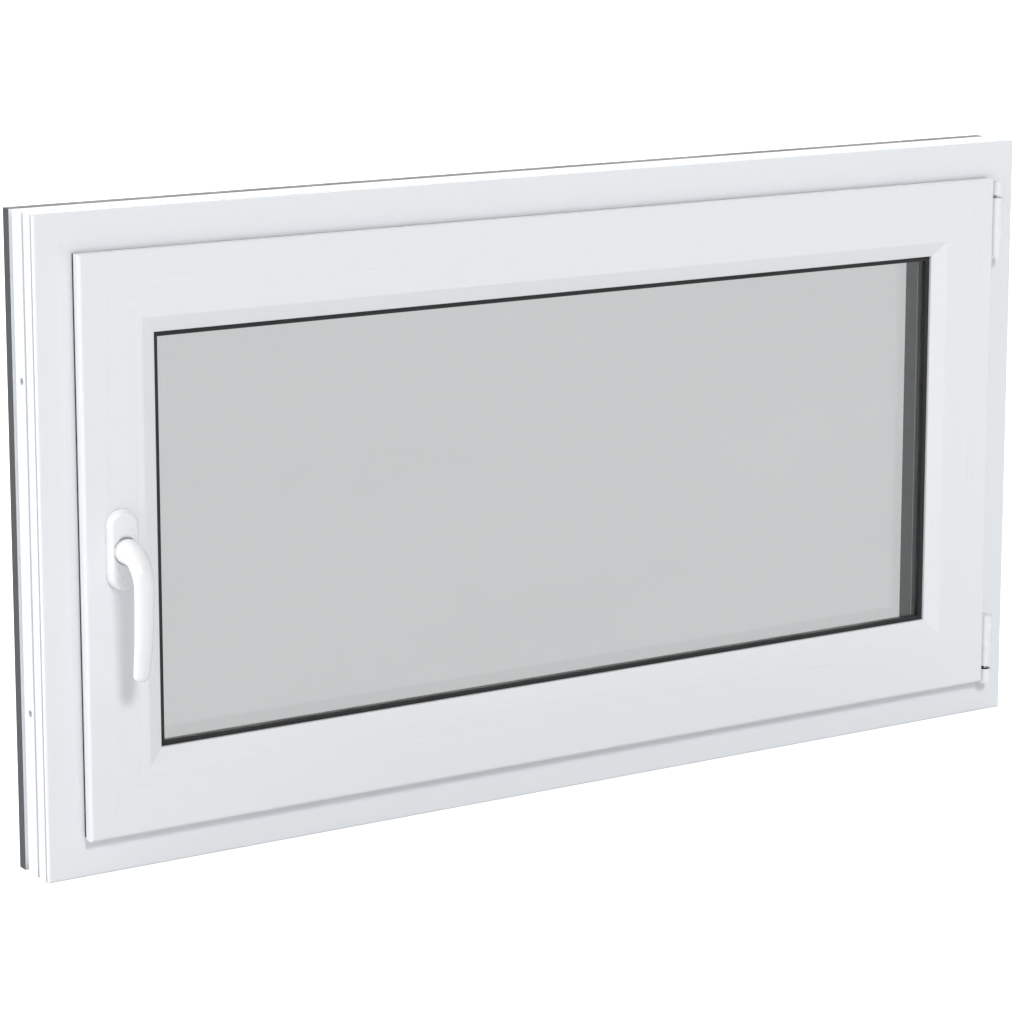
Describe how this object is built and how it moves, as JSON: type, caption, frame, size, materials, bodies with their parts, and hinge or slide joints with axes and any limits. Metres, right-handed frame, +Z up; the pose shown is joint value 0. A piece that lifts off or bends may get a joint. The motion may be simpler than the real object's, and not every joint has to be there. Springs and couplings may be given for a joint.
{
  "type": "tilt-and-turn window",
  "caption": "Tilt-and-turn plastic window: foiled outer frame, side-hung and tilting sash with sealed double glazing, lever handle with gear and rods, hinges and tilt stay.",
  "frame": {"origin": "bottom centre of the outer frame, half way through its depth, on the underside of the sill member", "axes": "+X towards the hinge side (right as seen from the room), +Y to the outside, +Z up"},
  "size_m": [1.1, 0.127, 0.6],
  "materials": {
    "white_upvc": "smooth semi-gloss extruded plastic",
    "anthracite_foil": "fine-grained matt film",
    "drain_cap_plastic": "matt moulded",
    "seal_rubber": "matt black",
    "glazing_seal": "matt black",
    "float_glass": "polished",
    "spacer_plastic": "matt dark grey with a row of fine perforations",
    "butyl_sealant": "matt black",
    "block_plastic": "moulded",
    "zinc_steel": "galvanised",
    "hardware_steel": "silver zinc plate",
    "cam_steel": "turned and plated",
    "gear_metal": "zinc die casting",
    "bright_steel": "bright drawn",
    "screw_steel": "plated",
    "hinge_metal": "silver coated",
    "white_cover": "moulded, semi-gloss",
    "base_plastic": "moulded",
    "white_handle_coat": "white powder coat on die-cast aluminium"
  },
  "bodies": {
    "frame": {"frame_sill": "white_upvc", "frame_head": "white_upvc", "frame_jamb_handle_side": "white_upvc", "frame_jamb_hinge_side": "white_upvc", "frame_steels": "zinc_steel", "frame_outer_foil": "anthracite_foil", "frame_gasket": "seal_rubber", "drainage_caps": "drain_cap_plastic", "lock_keeps": "hardware_steel", "tilt_keep": "hardware_steel", "keep_screws": "screw_steel", "stay_bearing": "hinge_metal", "stay_bearing_pin": "bright_steel", "stay_bearing_cover": "white_cover", "pivot_rest": "hinge_metal", "pivot_rest_cover": "white_cover", "frame_hinge_screws": "screw_steel"},
    "pivot": {"pivot_pin": "bright_steel"},
    "sash": {"sash_bottom_rail": "white_upvc", "sash_top_rail": "white_upvc", "sash_handle_stile": "white_upvc", "sash_hinge_stile": "white_upvc", "sash_steels": "zinc_steel", "sash_outer_foil": "anthracite_foil", "sash_gasket": "seal_rubber", "glass_inner_pane": "float_glass", "glass_outer_pane": "float_glass", "spacer_bar": "spacer_plastic", "edge_sealant": "butyl_sealant", "setting_blocks": "block_plastic", "glazing_gasket_inner": "glazing_seal", "glazing_gasket_outer": "glazing_seal", "bead_bottom": "white_upvc", "bead_top": "white_upvc", "bead_handle_side": "white_upvc", "bead_hinge_side": "white_upvc", "faceplate_handle_side": "hardware_steel", "faceplate_top": "hardware_steel", "faceplate_bottom": "hardware_steel", "corner_drives": "hardware_steel", "faceplate_screws": "screw_steel", "gearbox_case": "gear_metal", "rosette_base": "base_plastic", "rosette_cover": "white_cover", "handle_screws": "screw_steel", "corner_hinge_band": "hinge_metal", "corner_hinge_cover": "white_cover", "corner_hinge_screws": "screw_steel"},
    "handle": {"handle_lever": "white_handle_coat", "handle_spindle": "bright_steel", "gear_pinion": "gear_metal"},
    "drive_rod": {"drive_rod": "hardware_steel", "drive_rod_cams": "cam_steel"},
    "top_rod": {"top_rod": "hardware_steel", "top_rod_cam": "cam_steel"},
    "bottom_rod": {"bottom_rod": "hardware_steel", "bottom_rod_cam": "cam_steel"},
    "stay_slider": {"stay_slider": "hardware_steel"},
    "stay_arm": {"stay_arm": "hardware_steel", "stay_arm_cap": "white_cover"}
  },
  "joints": [
    {"name": "sash_tilt", "type": "hinge", "parent": "frame", "child": "pivot", "pos_m": [0.5218, -0.038, 0.0393], "axis": [1, 0, 0], "range_deg": [0, 10]},
    {"name": "sash_turn", "type": "hinge", "parent": "pivot", "child": "sash", "pos_m": [0.5218, -0.038, 0.0393], "axis": [0, 0, 1], "range_deg": [0, 100]},
    {"name": "handle_turn", "type": "hinge", "parent": "sash", "child": "handle", "pos_m": [-0.479, -0.044, 0.3], "axis": [0, -1, 0], "range_deg": [0, 180]},
    {"name": "drive_rod_slide", "type": "slide", "parent": "sash", "child": "drive_rod", "axis": [0, 0, -1], "range_m": [0, 0.02746]},
    {"name": "top_rod_slide", "type": "slide", "parent": "sash", "child": "top_rod", "axis": [-1, 0, 0], "range_m": [0, 0.02746]},
    {"name": "bottom_rod_slide", "type": "slide", "parent": "sash", "child": "bottom_rod", "axis": [1, 0, 0], "range_m": [0, 0.02746]},
    {"name": "stay_slide", "type": "slide", "parent": "sash", "child": "stay_slider", "axis": [1, 0, 0], "range_m": [0, 0.0042]},
    {"name": "stay_swing", "type": "hinge", "parent": "stay_slider", "child": "stay_arm", "pos_m": [0.0918, -0.02, 0.55], "axis": [0, 0.0698, 0.9976], "range_deg": [0, 12]}
  ],
  "couplings": [
    {"joint": "drive_rod_slide", "follows": "handle_turn", "m_per_rad": 0.0087394},
    {"joint": "top_rod_slide", "follows": "handle_turn", "m_per_rad": 0.0087394},
    {"joint": "bottom_rod_slide", "follows": "handle_turn", "m_per_rad": 0.0087394},
    {"joint": "stay_slide", "follows": "sash_tilt", "m_per_rad": 0.023806},
    {"joint": "stay_swing", "follows": "sash_tilt", "ratio": 1.189}
  ]
}
